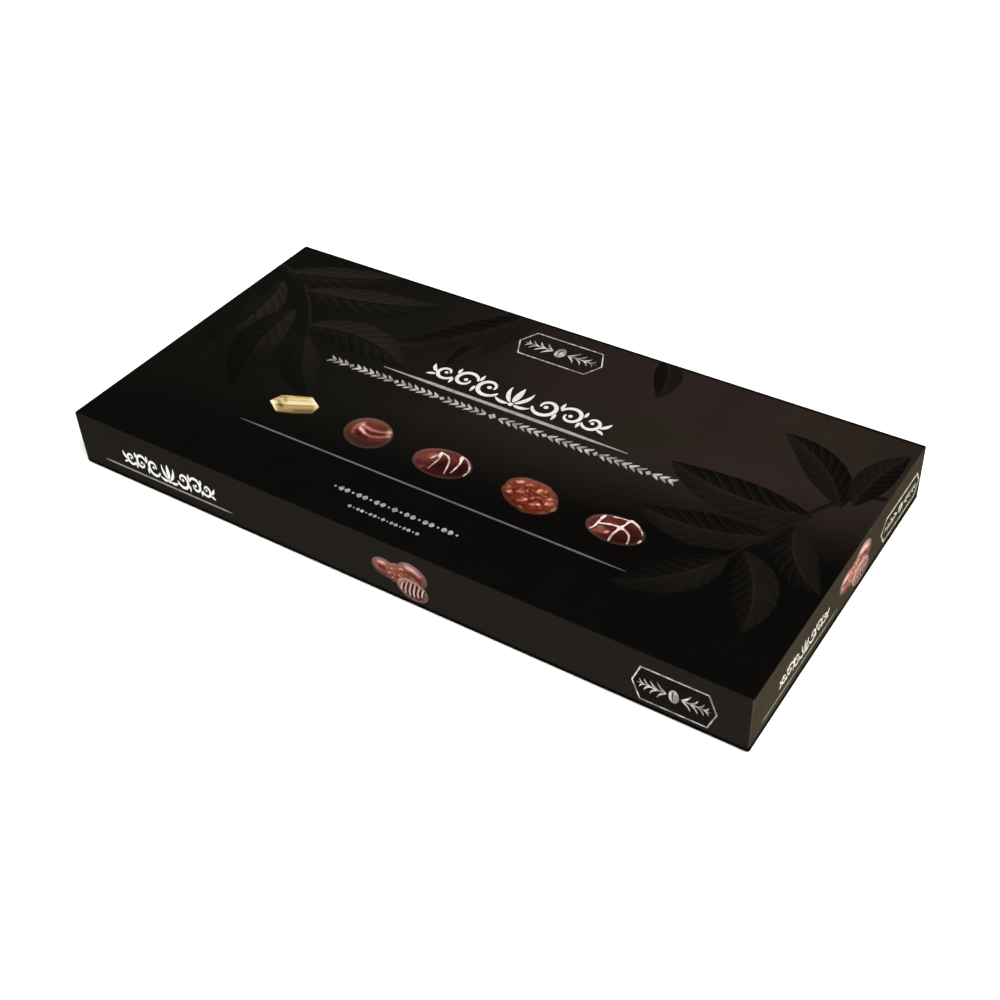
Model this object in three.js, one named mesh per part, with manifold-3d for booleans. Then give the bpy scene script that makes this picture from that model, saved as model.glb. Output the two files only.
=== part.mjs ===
// A shut, flat box of chocolate pralines, as printed board: a full-depth lift-off lid over a tray.
// Units are millimetres and +Z is up. The origin is the middle of the tray's underside.
// +X runs along the long front wall, left to right, and +Y runs from the front wall to the back.
import * as THREE from "three";
import { mergeVertices } from "three/addons/utils/BufferGeometryUtils.js";
import Module from "manifold-3d";

// Outside of the shut box.
const LENGTH = 360;
const WIDTH = 178;
const HEIGHT = 31;

// The lid's top is one board thick. Its walls are the same board, folded up inside on themselves.
const BOARD = 0.8;
const LID_WALL = 2 * BOARD;
const FOLD_RADIUS = 1.0;
const RIM_RADIUS = 0.7;

// The lid slides over the tray with this play all round and stops short of the table.
const PLAY = 0.3;
const RIM_LIFT = 0.7;
const TRAY_FOLD_RADIUS = 0.6;

const FOLD_STEPS = 4;

const wasm = await Module();
wasm.setup();

// A rectangle about the origin whose corners are quarter circles.
function roundedRectangle(length, width, radius) {
  const x = length / 2 - radius;
  const y = width / 2 - radius;
  const shape = new THREE.Shape();
  shape.moveTo(-x, -y - radius);
  shape.absarc(x, -y, radius, -Math.PI / 2, 0);
  shape.absarc(x, y, radius, 0, Math.PI / 2);
  shape.absarc(-x, y, radius, Math.PI / 2, Math.PI);
  shape.absarc(-x, -y, radius, Math.PI, 1.5 * Math.PI);
  shape.closePath();
  return shape;
}

// A block from z = bottom to z = top, with its upright edges and both its rims rounded.
function foldedBlock(length, width, bottom, top, edgeRadius, rimRadius) {
  const block = new THREE.ExtrudeGeometry(roundedRectangle(length, width, edgeRadius), {
    depth: top - bottom - 2 * rimRadius,
    bevelEnabled: true,
    bevelThickness: rimRadius,
    bevelSize: rimRadius,
    bevelOffset: -rimRadius,
    bevelSegments: FOLD_STEPS,
    curveSegments: FOLD_STEPS,
  });
  return block.translate(0, 0, bottom + rimRadius);
}

// A block with sharp rims, for the room inside the lid.
function plainBlock(length, width, bottom, top) {
  const block = new THREE.BoxGeometry(length, width, top - bottom);
  return block.translate(0, 0, (top + bottom) / 2);
}

// The closed surface of a geometry, as a solid that can be cut.
function toSolid(geometry) {
  const bare = geometry.clone();
  bare.deleteAttribute("normal");
  bare.deleteAttribute("uv");
  const merged = mergeVertices(bare, 1e-4);
  return new wasm.Manifold(
    new wasm.Mesh({
      numProp: 3,
      vertProperties: merged.getAttribute("position").array,
      triVerts: new Uint32Array(merged.getIndex().array),
    }),
  );
}

// A cut solid, as a geometry that three.js can draw.
function toGeometry(solid) {
  const mesh = solid.getMesh();
  const geometry = new THREE.BufferGeometry();
  geometry.setAttribute("position", new THREE.BufferAttribute(mesh.vertProperties, 3));
  geometry.setIndex(new THREE.BufferAttribute(mesh.triVerts, 1));
  const faceted = geometry.toNonIndexed();
  faceted.computeVertexNormals();
  return faceted;
}

// The lid: five panels of board, open below, printed near-black outside.
function makeLid() {
  const outside = foldedBlock(LENGTH, WIDTH, RIM_LIFT, HEIGHT, FOLD_RADIUS, RIM_RADIUS);
  const room = plainBlock(
    LENGTH - 2 * LID_WALL,
    WIDTH - 2 * LID_WALL,
    RIM_LIFT - BOARD,
    HEIGHT - BOARD,
  );
  const lid = toSolid(outside).subtract(toSolid(room));
  const print = new THREE.MeshStandardMaterial({ color: 0x1b1814, roughness: 0.5, metalness: 0 });
  const mesh = new THREE.Mesh(toGeometry(lid), print);
  mesh.name = "lid";
  return mesh;
}

// The shut tray, which fills the lid and carries the whole box on its flat underside.
function makeTray() {
  const inset = 2 * (LID_WALL + PLAY);
  const tray = foldedBlock(
    LENGTH - inset,
    WIDTH - inset,
    0,
    HEIGHT - BOARD - PLAY,
    FOLD_RADIUS,
    TRAY_FOLD_RADIUS,
  );
  const board = new THREE.MeshStandardMaterial({ color: 0x26221c, roughness: 0.8, metalness: 0 });
  const mesh = new THREE.Mesh(tray, board);
  mesh.name = "tray";
  return mesh;
}

const pralineBox = new THREE.Group();
pralineBox.add(makeLid(), makeTray());

export default pralineBox;
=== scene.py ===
# A shut, flat gift box of chocolate pralines in dark printed board, on a pale studio floor.
# The frame's units are metres: +X along the long front wall, +Y to the back, +Z up.
# Print is drawn in millimetres, about the middle of its own place, and laid on the board in metres.
import math
import random

import bmesh
import bpy
from mathutils import Matrix, Vector


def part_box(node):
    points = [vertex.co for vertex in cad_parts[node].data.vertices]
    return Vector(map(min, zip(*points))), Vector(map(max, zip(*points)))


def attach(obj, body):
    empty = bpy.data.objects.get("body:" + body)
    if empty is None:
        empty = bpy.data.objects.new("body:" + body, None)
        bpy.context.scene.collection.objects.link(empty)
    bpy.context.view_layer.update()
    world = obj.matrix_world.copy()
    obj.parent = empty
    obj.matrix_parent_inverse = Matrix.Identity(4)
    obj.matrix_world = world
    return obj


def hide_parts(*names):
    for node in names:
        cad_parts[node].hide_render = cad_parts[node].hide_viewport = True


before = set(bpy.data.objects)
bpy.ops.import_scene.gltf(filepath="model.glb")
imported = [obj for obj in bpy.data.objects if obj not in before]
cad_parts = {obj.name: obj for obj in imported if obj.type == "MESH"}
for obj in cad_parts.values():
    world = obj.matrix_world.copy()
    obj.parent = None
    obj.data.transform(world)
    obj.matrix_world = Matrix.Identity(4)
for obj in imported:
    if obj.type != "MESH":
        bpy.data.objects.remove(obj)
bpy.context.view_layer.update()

MM = 0.001

# Outside of the lid, from the frame
lid_low, lid_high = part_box("lid")
LENGTH = lid_high.x - lid_low.x
WIDTH = lid_high.y - lid_low.y
TOP = lid_high.z
RIM = lid_low.z

# The board and its folds
BOARD = 0.8 * MM
LID_WALL = 2 * BOARD
FOLD_RADIUS = 1.0 * MM
RIM_RADIUS = 0.7 * MM
FOLD_SEGMENTS = 5
CROWN = 0.35 * MM
PANEL_STEP = 20 * MM
SEAM_WIDTH = 0.16 * MM
SEAM_DEPTH = 0.12 * MM
SEAM_FROM_EDGE = 1.5 * MM

# How the print lies on the board, in millimetres
INK_DEPTH = 0.05
SHAPE_STEP = 0.004
LEAF_STEP = 0.002
LEAF_LEVEL = 0.01
INK_LEVEL = 0.10
STROKE_STEPS = 18
MERGE = 1e-4

# Tolerances: nearness and touch in metres, and how squarely a face has to point along an axis
NEAR = 0.1 * MM
HAIR = 0.01 * MM
CUT_PRECISION = 1e-7
FLAT = 0.999
ON_WALL = 0.9
FACING = 0.7

# Print on the top panel, in millimetres from its middle. An emblem's size is its length and height, its
# outline and its sprigs' weight. A rule is its two ends, its height and its half width. A row of beads
# is its length, its beads' half width and their pitch.
TOP_EMBLEM_AT = (-1.2, 69.2)
TOP_EMBLEM_SIZE = (48.0, 20.0, 0.64, 1.0)
TITLE_AT = (0.2, 27.4)
TITLE_SCALE = 1.03
TITLE_WEIGHT = 0.88
UPPER_RULE = (-71.2, 66.8, 16.2, 1.0)
UPPER_RULE_FADE = 4.0
BAND_AT = (-2.0, 8.7)
BAND_LENGTH = 199.0
BAND_HALF = 2.6
SWEETS_AT = ((-90.3, -30.9), (-45.4, -30.9), (-2.4, -32.0), (44.3, -31.2), (87.6, -31.7))
LOWER_RULE = (-106.0, 104.3, -52.0, 0.46)
LOWER_RULE_FADE = 14.0
BEADS_AT = (-1.9, -69.0)
BEADS = (67.0, 1.36, 3.3)
SMALL_BEADS_AT = (-2.6, -76.8)
SMALL_BEADS = (37.0, 0.9, 2.3)

# Print on the walls, in millimetres from the middle of the wall's foot
LONG_WALL = {
    "title": (-121.8, 16.2),
    "title_scale": (0.60, 0.76),
    "title_weight": 0.95,
    "title_inks": ("wall_white_ink",),
    "rule": (-165.0, -83.3, 8.4, 0.5),
    "rule_inks": ("wall_grey_ink",),
    "sweets": (14.0, 14.0),
    "sweets_scale": (1.0, 1.0),
    "sweets_painted_light_lift": 0.0,
    "emblem": (146.8, 14.2),
    "emblem_size": (38.0, 19.0, 0.64, 1.0),
    "emblem_inks": ("wall_pale_ink", "wall_plaque_ink"),
}
SHORT_WALL = {
    "title": (-40.0, 16.3),
    "title_scale": (0.49, 0.54),
    "title_weight": 0.92,
    "title_inks": ("end_white_ink",),
    "rule": (-79.0, -5.5, 8.4, 0.5),
    "rule_inks": ("end_grey_ink",),
    "sweets": (11.4, 15.6),
    "sweets_scale": (1.12, 1.03),
    # The end walls' sweets are lifted in tone: painted light, for the brighter light on the end walls
    "sweets_painted_light_lift": 0.18,
    "emblem": (63.2, 13.6),
    "emblem_size": (46.0, 14.0, 0.95, 1.35),
    "emblem_inks": ("end_pale_ink", "end_plaque_painted_light_ink"),
}
WALL_RULE_FADE = 14.0
# Each wall: its turn in degrees, how far it stands from the middle, and what is printed on it
WALLS = {
    "front": (0, WIDTH / 2, LONG_WALL),
    "right": (90, LENGTH / 2, SHORT_WALL),
    "back": (180, WIDTH / 2, LONG_WALL),
    "left": (270, LENGTH / 2, SHORT_WALL),
}

# The camera, fitted to the corners that the photograph shows
CAMERA_AZIMUTH = 35.22
CAMERA_ELEVATION = 40.37
CAMERA_DISTANCE = 663.2 * MM
CAMERA_AIM = Vector((23.6 * MM, -25.0 * MM, 15.5 * MM))
CAMERA_ROLL = -3.2
CAMERA_LENS = 52.34
CAMERA_SENSOR = 36.0
CLIP_START = 20 * MM
CLIP_END = 30.0

# The studio
FLOOR_RADIUS = 1.8
SWEEP_RADIUS = 0.9
SWEEP_TURN = 65.0
SWEEP_STEPS = 16
FLOOR_SEGMENTS = 96
# Each light: its strength, its azimuth and its elevation
KEY_LIGHT = (5.4, 74.0, 45.0)
FILL_LIGHT = (2.0, 300.0, 60.0)
LIGHT_ANGLE = 50.0
WORLD_STRENGTH = 0.04

# How strongly that light falls on the top, on the front wall and on the right end wall, so that a
# colour can be given as the photograph shows it there
TOP_LIGHT = 1.80
WALL_LIGHT = 1.42
END_LIGHT = 1.50


# Camera and light

def direction(azimuth, elevation):
    """The unit vector from the box towards a place seen at that azimuth and elevation, in degrees."""
    a = math.radians(azimuth)
    e = math.radians(elevation)
    return Vector((math.sin(a) * math.cos(e), -math.cos(a) * math.cos(e), math.sin(e)))


def add_object(name, data):
    thing = bpy.data.objects.new(name, data)
    bpy.context.scene.collection.objects.link(thing)
    return thing


def make_camera():
    data = bpy.data.cameras.new("camera")
    data.sensor_width = CAMERA_SENSOR
    data.lens = CAMERA_LENS
    data.clip_start = CLIP_START
    data.clip_end = CLIP_END
    camera = add_object("camera", data)
    back = direction(CAMERA_AZIMUTH, CAMERA_ELEVATION)
    facing = (-back).to_track_quat("-Z", "Y").to_matrix()
    roll = Matrix.Rotation(math.radians(CAMERA_ROLL), 3, "Z")
    stand = Matrix.Translation(CAMERA_AIM + back * CAMERA_DISTANCE)
    camera.matrix_world = stand @ (facing @ roll).to_4x4()
    bpy.context.scene.camera = camera


def make_softbox(name, strength, azimuth, elevation):
    data = bpy.data.lights.new(name, "SUN")
    data.energy = strength
    data.angle = math.radians(LIGHT_ANGLE)
    towards = direction(azimuth, elevation)
    add_object(name, data).matrix_world = towards.to_track_quat("Z", "Y").to_matrix().to_4x4()


def make_light():
    """A large softbox at the right, a weaker one at the left, and a little light from all round."""
    make_softbox("key_softbox", *KEY_LIGHT)
    make_softbox("fill_softbox", *FILL_LIGHT)
    world = bpy.data.worlds.new("studio")
    world.use_nodes = True
    world.node_tree.nodes["Background"].inputs["Strength"].default_value = WORLD_STRENGTH
    bpy.context.scene.world = world
    bpy.context.scene.view_settings.view_transform = "Standard"


# Colours

def srgb(red, green, blue):
    """A screen colour, 0 to 255 each, as a linear one for a shader."""
    def linear(value):
        share = value / 255
        return share / 12.92 if share <= 0.04045 else ((share + 0.055) / 1.055) ** 2.4
    return (linear(red), linear(green), linear(blue), 1.0)


def printed(colour, light=TOP_LIGHT):
    """The ink that shows as this screen colour under so much light."""
    return tuple(min(1.0, part / light) for part in srgb(*colour)[:3]) + (1.0,)


# Black ink, which also paints the shadow in the band along the walls' rim
INK_AND_SHADOW_BLACK = printed((10, 9, 7))
FIELD_MOSS = printed((43, 41, 35))
FIELD_OLIVE = printed((46, 39, 32))
FIELD_PLUM = printed((48, 38, 35))
WALL_BROWNS = (printed((36, 33, 26), WALL_LIGHT), printed((37, 32, 28), WALL_LIGHT))
# The end walls' browns are lighter than the long walls': painted light, for the brighter light on the end
# walls
END_PAINTED_LIGHT_BROWNS = (printed((72, 66, 51), END_LIGHT), printed((66, 58, 46), END_LIGHT))
WORN_BOARD = printed((58, 52, 44))
TRAY_BLACK = srgb(24, 22, 20)
TRAY_FIBRE = srgb(52, 48, 44)
FLOOR_WHITES = (srgb(245, 245, 244), srgb(247, 247, 246))


# Shader nodes

def feed(socket, value):
    """Gives a node's input a fixed value or what another node puts out."""
    if isinstance(value, bpy.types.NodeSocket):
        socket.id_data.links.new(value, socket)
    else:
        socket.default_value = value


def add_node(tree, kind, inputs, **settings):
    """A node with its settings and with its inputs, by name or by number."""
    node = tree.nodes.new(kind)
    for name, value in settings.items():
        setattr(node, name, value)
    for key, value in inputs.items():
        feed(node.inputs[key], value)
    return node


def object_coordinates(tree):
    return add_node(tree, "ShaderNodeTexCoord", {}).outputs["Object"]


def add_place(tree):
    """The three coordinates of the spot, in metres."""
    return add_node(tree, "ShaderNodeSeparateXYZ", {"Vector": object_coordinates(tree)}).outputs


def add_attribute(tree, name):
    """A value that the piece itself holds, on its faces or at its corners."""
    return add_node(tree, "ShaderNodeAttribute", {}, attribute_name=name).outputs["Fac"]


def add_noise(tree, features, detail, roughness=0.5):
    """Noise over the piece, with so many features to the metre."""
    inputs = {"Scale": features, "Detail": detail, "Roughness": roughness}
    inputs["Vector"] = object_coordinates(tree)
    return add_node(tree, "ShaderNodeTexNoise", inputs).outputs["Fac"]


def add_range(value, low, high, to_low=0.0, to_high=1.0):
    """The value, carried smoothly from one range to another."""
    inputs = {"Value": value, "From Min": low, "From Max": high, "To Min": to_low, "To Max": to_high}
    node = add_node(value.id_data, "ShaderNodeMapRange", inputs, interpolation_type="SMOOTHSTEP")
    return node.outputs["Result"]


def add_cloud(tree, cloud, to_low=0.0, to_high=1.0):
    """Noise that grows from one value to another: a cloud is its features to the metre, its detail, its
    roughness and the two limits between which it grows."""
    features, detail, roughness, low, high = cloud
    return add_range(add_noise(tree, features, detail, roughness), low, high, to_low, to_high)


def add_math(operation, *values, clamp=False):
    inputs = dict(enumerate(values))
    node = add_node(values[0].id_data, "ShaderNodeMath", inputs, operation=operation, use_clamp=clamp)
    return node.outputs["Value"]


def product(first, second):
    return add_math("MULTIPLY", first, second)


def larger(first, second):
    return add_math("MAXIMUM", first, second)


def leaning(tree, lean):
    """How far back the spot lies, counted along a line that leans by so much to each metre of length."""
    x, y, _ = add_place(tree)
    return add_math("ADD", y, product(x, lean))


def add_ramp(value, stops):
    """Colours along the value: stops are (place, colour)."""
    ramp = add_node(value.id_data, "ShaderNodeValToRGB", {"Fac": value})
    elements = ramp.color_ramp.elements
    while len(elements) < len(stops):
        elements.new(0.5)
    for element, (place, colour) in zip(elements, stops):
        element.position = place
        element.color = colour
    return ramp.outputs["Color"]


def add_mix(share, first, second):
    """The first colour, which gives way to the second as the share grows."""
    node = add_node(share.id_data, "ShaderNodeMix", {"Factor": share}, data_type="RGBA")
    sockets = [s for s in node.inputs if s.enabled and s.type == "RGBA"]
    for socket, colour in zip(sockets, (first, second)):
        feed(socket, colour)
    return next(s for s in node.outputs if s.enabled and s.type == "RGBA")


def add_relief(shader, layers):
    """Bumps one on another: layers are (features to the metre, height in metres, detail)."""
    tree = shader.id_data
    normal = None
    for features, height, detail in layers:
        inputs = {"Distance": height, "Height": add_noise(tree, features, detail)}
        bump = add_node(tree, "ShaderNodeBump", inputs)
        if normal is not None:
            feed(bump.inputs["Normal"], normal)
        normal = bump.outputs["Normal"]
    feed(shader.inputs["Normal"], normal)


# Finishes

BOARD_WAVE = (22.0, 0.06 * MM, 1.0)
ORANGE_PEEL = (900.0, 0.004 * MM, 2.0)
FIBRE = (2600.0, 0.002 * MM, 3.0)
GLOSS_CLOUDS = (55.0, 3.0, 0.5, 0.3, 0.7)
SATIN_ROUGHNESS = (0.34, 0.38)
SATIN_SPECULAR = 0.06


def new_material(name, roughness, specular):
    """A material and its shader."""
    material = bpy.data.materials.new(name)
    material.use_nodes = True
    shader = material.node_tree.nodes["Principled BSDF"]
    feed(shader.inputs["Roughness"], roughness)
    feed(shader.inputs["Specular IOR Level"], specular)
    return material, shader


def satin_print(name, make_colour, *details):
    """Ink under a satin film with uneven gloss, a slow wave of the board and a fine orange peel. The
    ink's colour comes from a function of its own, which adds its nodes to the material's tree."""
    material, shader = new_material(name, SATIN_ROUGHNESS[0], SATIN_SPECULAR)
    tree = material.node_tree
    feed(shader.inputs["Base Color"], make_colour(tree, *details))
    feed(shader.inputs["Roughness"], add_cloud(tree, GLOSS_CLOUDS, *SATIN_ROUGHNESS))
    add_relief(shader, (BOARD_WAVE, ORANGE_PEEL))
    return material


BACK_MARGIN = 2.2 * MM
# The black bands up from the rim on the long and the end walls are painted shadow of the gap under the lid
RIM_SHADOW_MARGIN = 2.0 * MM
END_RIM_SHADOW_MARGIN = 3.2 * MM
END_BACK_MARGIN = 2.4 * MM
MARGIN_SOFTNESS = 0.3 * MM
RUBBED_FLECKS = (900.0, 3.0, 0.6, 0.58, 0.72)
FLECK_STRENGTH = 0.22


def add_back_margin(tree, width):
    edge = WIDTH / 2 - width
    return add_range(add_place(tree)[1], edge, edge + MARGIN_SOFTNESS)


# Painted shadow: black up from the rim to that height, softening above it
def add_rim_painted_shadow(tree, width):
    edge = RIM + width
    return add_range(add_place(tree)[2], edge, edge + MARGIN_SOFTNESS, 1.0, 0.0)


def add_black_edges(tree, colour, margin):
    """Black in the margin and on the back and left folds, with rubbed flecks on every fold. On the walls
    the margin is painted shadow along the rim.
    """
    fold = add_attribute(tree, "fold")
    x, y, _ = add_place(tree)
    at_back = add_range(y, WIDTH / 2 - 2 * FOLD_RADIUS, WIDTH / 2 - FOLD_RADIUS)
    at_left = add_range(x, FOLD_RADIUS - LENGTH / 2, 2 * FOLD_RADIUS - LENGTH / 2, 1.0, 0.0)
    black_fold = product(fold, larger(at_back, at_left))
    black_edges_and_painted_shadow = add_mix(larger(black_fold, margin), colour, INK_AND_SHADOW_BLACK)
    flecks = add_cloud(tree, RUBBED_FLECKS, 0.0, FLECK_STRENGTH)
    return add_mix(product(fold, flecks), black_edges_and_painted_shadow, WORN_BOARD)


# The brown field: where it starts and is full, from left to right and from front to back
FIELD_ACROSS = (-150 * MM, 120 * MM)
FIELD_BACK = (-48 * MM, 10 * MM)
FIELD_LEAN = -0.2
FIELD_AT_LEFT = 0.16
FIELD_CLOUDS = (16.0, 3.0, 0.6, 0.25, 0.7)
FIELD_THINNEST = 0.72
FIELD_HUES = (11.0, 2.0, 0.5, 0.4, 0.6)
MOSS_ENDS = (-100 * MM, -20 * MM)


def field_strength(tree):
    """How far the brown field shows on the top: full at the back, faint at the left, none at the front."""
    across = add_range(add_place(tree)[0], *FIELD_ACROSS, FIELD_AT_LEFT, 1.0)
    back = add_range(leaning(tree, FIELD_LEAN), *FIELD_BACK)
    return product(product(across, back), add_cloud(tree, FIELD_CLOUDS, FIELD_THINNEST, 1.0))


def top_colour(tree):
    """Black ink that opens into a clouded brown field towards the back, inside a black margin."""
    warm = add_mix(add_cloud(tree, FIELD_HUES), FIELD_OLIVE, FIELD_PLUM)
    field = add_mix(add_range(add_place(tree)[0], *MOSS_ENDS), FIELD_MOSS, warm)
    colour = add_mix(field_strength(tree), INK_AND_SHADOW_BLACK, field)
    return add_black_edges(tree, colour, add_back_margin(tree, BACK_MARGIN))


WALL_CLOUDS = (18.0, 3.0, 0.5, 0.35, 0.65)


def wall_colour(tree):
    """Warm brown ink, clouded between two shades, down to a black band of painted shadow along the rim."""
    colour = add_mix(add_cloud(tree, WALL_CLOUDS), *WALL_BROWNS)
    return add_black_edges(tree, colour, add_rim_painted_shadow(tree, RIM_SHADOW_MARGIN))


def end_wall_painted_light_colour(tree):
    """A lighter olive brown, painted light for the brighter end walls, with a black band of painted rim
    shadow and a black line along the back edge too.
    """
    colour = add_mix(add_cloud(tree, WALL_CLOUDS), *END_PAINTED_LIGHT_BROWNS)
    margin = larger(add_rim_painted_shadow(tree, END_RIM_SHADOW_MARGIN), add_back_margin(tree, END_BACK_MARGIN))
    return add_black_edges(tree, colour, margin)


FULL_COVER = (260.0, 3.0, 0.5, 0.3, 0.6)
THIN_COVER = (260.0, 3.0, 0.5, 0.36, 0.66)


def ink_colour(tree, full, thin, light=TOP_LIGHT, cover=FULL_COVER):
    """Opaque ink, a little thinner in places. Both are given as screen colours."""
    return add_mix(add_cloud(tree, cover), printed(thin, light), printed(full, light))


# A leaf's veins, as shares of its length and of its half width, counted from its midrib
VEIN_PAIRS = 9.0
VEIN_SLANT = 1.7
VEINS_BEFORE_ROOT = 4.0
SIDE_VEIN = (0.03, 0.13)
SIDE_VEIN_STRENGTH = 0.9
MIDRIB = (0.03, 0.08)
# A leaf's tones: its darker and its lighter half, the bulge between two veins and the fall to its edge
LEAF_FOLD = (-0.15, 0.15)
LEAF_HALVES = (0.12, 0.6)
LEAF_BULGE = 0.4
LEAF_FALL = 0.3
LEFT_LEAVES = ((0.0, printed((17, 16, 12))), (0.8, printed((42, 38, 31))))
RIGHT_LEAVES = ((0.0, printed((10, 9, 8))), (0.8, printed((29, 26, 22))))
LEAF_VEINS = (printed((15, 14, 11)), printed((39, 33, 28)))
# Where the leaves change from left to right, and where they come out of the black from front to back
LEAF_SIDES = (-85 * MM, -50 * MM)
LEAF_BACK = (-75 * MM, 15 * MM)
LEAF_LEAN = 0.22
LEAF_CLOUDS = (30.0, 3.0, 0.5, 0.25, 0.7)
LEAF_THINNEST = 0.7


def add_veins(along, reach):
    """Where a leaf's midrib and side veins run, and how far each patch between them lies from its vein."""
    slanted = add_math("SUBTRACT", product(along, VEIN_PAIRS), product(reach, VEIN_SLANT))
    patch = add_math("FRACT", add_math("ADD", slanted, VEINS_BEFORE_ROOT))
    side_veins = add_range(patch, *SIDE_VEIN, SIDE_VEIN_STRENGTH, 0.0)
    return larger(side_veins, add_range(reach, *MIDRIB, 1.0, 0.0)), patch


def leaf_colour(tree):
    """Tonal ink: paler than the ground at the left, darker at the right and gone at the front."""
    across = add_attribute(tree, "across")
    reach = add_math("ABSOLUTE", across)
    veins, patch = add_veins(add_attribute(tree, "along"), reach)
    rounded = add_math("ADD", add_range(across, *LEAF_FOLD, *LEAF_HALVES), product(patch, LEAF_BULGE))
    shade = add_math("SUBTRACT", rounded, product(reach, LEAF_FALL))
    left = add_ramp(shade, LEFT_LEAVES)
    right = add_ramp(shade, RIGHT_LEAVES)
    side = add_range(add_place(tree)[0], *LEAF_SIDES)
    drawn = add_mix(veins, add_mix(side, left, right), add_mix(side, *LEAF_VEINS))
    back = add_range(leaning(tree, LEAF_LEAN), *LEAF_BACK)
    return add_mix(product(back, add_cloud(tree, LEAF_CLOUDS, LEAF_THINNEST, 1.0)), INK_AND_SHADOW_BLACK, drawn)


PICTURE_GRAIN = (700.0, 3.0, 0.5, 0.2, 0.8)
GRAIN_STRENGTH = 0.06


def picture_colour(tree, stops, light=TOP_LIGHT):
    """A printed picture: the shape holds its tone, paler and greyer in its rim and dark at its edge."""
    grain = add_cloud(tree, PICTURE_GRAIN, -GRAIN_STRENGTH, GRAIN_STRENGTH)
    tone = add_math("ADD", add_attribute(tree, "tone"), grain, clamp=True)
    body, rim = (
        add_ramp(tone, [(place, printed(colour, light)) for place, colour in tones])
        for tones in (stops, RIM_STOPS)
    )
    rimmed = add_mix(add_attribute(tree, "rim"), body, rim)
    return add_mix(add_attribute(tree, "edge"), rimmed, printed(EDGE_TONE, light))


BARE_ROUGHNESS = 0.8
BARE_SPECULAR = 0.3
BARE_FIBRES = (1500.0, 4.0, 0.7, 0.45, 0.75)
FIBRE_STRENGTH = 0.6


def bare_board_material():
    """Uncoated board: matt, with a fibrous tooth and small pale fibres."""
    material, shader = new_material("bare_board", BARE_ROUGHNESS, BARE_SPECULAR)
    fibres = add_cloud(material.node_tree, BARE_FIBRES, 0.0, FIBRE_STRENGTH)
    feed(shader.inputs["Base Color"], add_mix(fibres, TRAY_BLACK, TRAY_FIBRE))
    add_relief(shader, (BOARD_WAVE, FIBRE))
    return material


FLOOR_ROUGHNESS = 0.9
FLOOR_CLOUDS = (3.0, 2.0, 0.5, 0.3, 0.7)


def floor_material():
    material, shader = new_material("floor_paper", FLOOR_ROUGHNESS, 0.0)
    feed(shader.inputs["Base Color"], add_mix(add_cloud(material.node_tree, FLOOR_CLOUDS), *FLOOR_WHITES))
    return material


# The pictures' colours from shade to glint, as the photograph shows them
MILK_STOPS = (
    (0.0, (50, 22, 17)),
    (0.2, (79, 40, 34)),
    (0.4, (108, 50, 39)),
    (0.6, (147, 86, 76)),
    (0.8, (190, 130, 118)),
    (1.0, (236, 182, 170)),
)
DARK_STOPS = (
    (0.0, (42, 13, 9)),
    (0.2, (64, 24, 19)),
    (0.4, (90, 38, 33)),
    (0.6, (120, 60, 47)),
    (0.8, (160, 106, 94)),
    (1.0, (226, 172, 162)),
)
NUT_STOPS = (
    (0.0, (76, 24, 13)),
    (0.25, (108, 43, 26)),
    (0.5, (142, 72, 52)),
    (0.75, (190, 114, 93)),
    (1.0, (238, 176, 158)),
)
FOIL_STOPS = (
    (0.0, (92, 72, 44)),
    (0.25, (128, 106, 66)),
    (0.5, (176, 151, 94)),
    (0.75, (232, 211, 152)),
    (1.0, (255, 244, 206)),
)
RIM_STOPS = (
    (0.0, (60, 44, 37)),
    (0.3, (92, 69, 61)),
    (0.6, (130, 102, 95)),
    (1.0, (204, 180, 172)),
)
EDGE_TONE = (30, 22, 18)

# Each picture: its colours, and the light that it is seen in
PICTURES = {
    "milk_print": (MILK_STOPS,),
    "dark_print": (DARK_STOPS,),
    "nut_print": (NUT_STOPS,),
    "foil_print": (FOIL_STOPS,),
    "wall_milk_print": (MILK_STOPS, WALL_LIGHT),
    "wall_dark_print": (DARK_STOPS, WALL_LIGHT),
    "wall_nut_print": (NUT_STOPS, WALL_LIGHT),
}
# Each ink: its full colour and its thin one, the light that it is seen in, and how it covers
INKS = {
    "white_ink": ((243, 240, 237), (228, 224, 220)),
    "pale_ink": ((204, 198, 193), (138, 132, 127), TOP_LIGHT, THIN_COVER),
    "emblem_ink": ((226, 220, 214), (134, 124, 116), TOP_LIGHT, THIN_COVER),
    "plaque_ink": ((31, 26, 22), (37, 31, 27)),
    "light_grey_ink": ((194, 193, 191), (140, 139, 137), TOP_LIGHT, THIN_COVER),
    "mid_grey_ink": ((178, 169, 165), (158, 149, 146)),
    "grey_ink": ((114, 112, 109), (98, 96, 93)),
    "drizzle_ink": ((255, 238, 230), (176, 138, 127), TOP_LIGHT, THIN_COVER),
    "drop_ink": ((253, 240, 231), (238, 214, 203)),
    "wall_white_ink": ((250, 249, 246), (238, 236, 232), WALL_LIGHT),
    "wall_pale_ink": ((226, 223, 217), (142, 136, 128), WALL_LIGHT, THIN_COVER),
    "wall_grey_ink": ((150, 146, 138), (124, 120, 112), WALL_LIGHT),
    "wall_plaque_ink": ((26, 23, 18), (32, 28, 23), WALL_LIGHT),
    "wall_drizzle_ink": ((206, 180, 172), (178, 144, 134), WALL_LIGHT),
    "end_white_ink": ((254, 250, 238), (208, 202, 186), END_LIGHT, THIN_COVER),
    "end_pale_ink": ((230, 224, 206), (160, 154, 136), END_LIGHT, THIN_COVER),
    "end_grey_ink": ((150, 144, 126), (124, 118, 102), END_LIGHT),
    # The end walls' plaque fill is painted lighter, for the brighter light on the end walls
    "end_plaque_painted_light_ink": ((56, 51, 40), (64, 58, 46), END_LIGHT),
}
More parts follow.
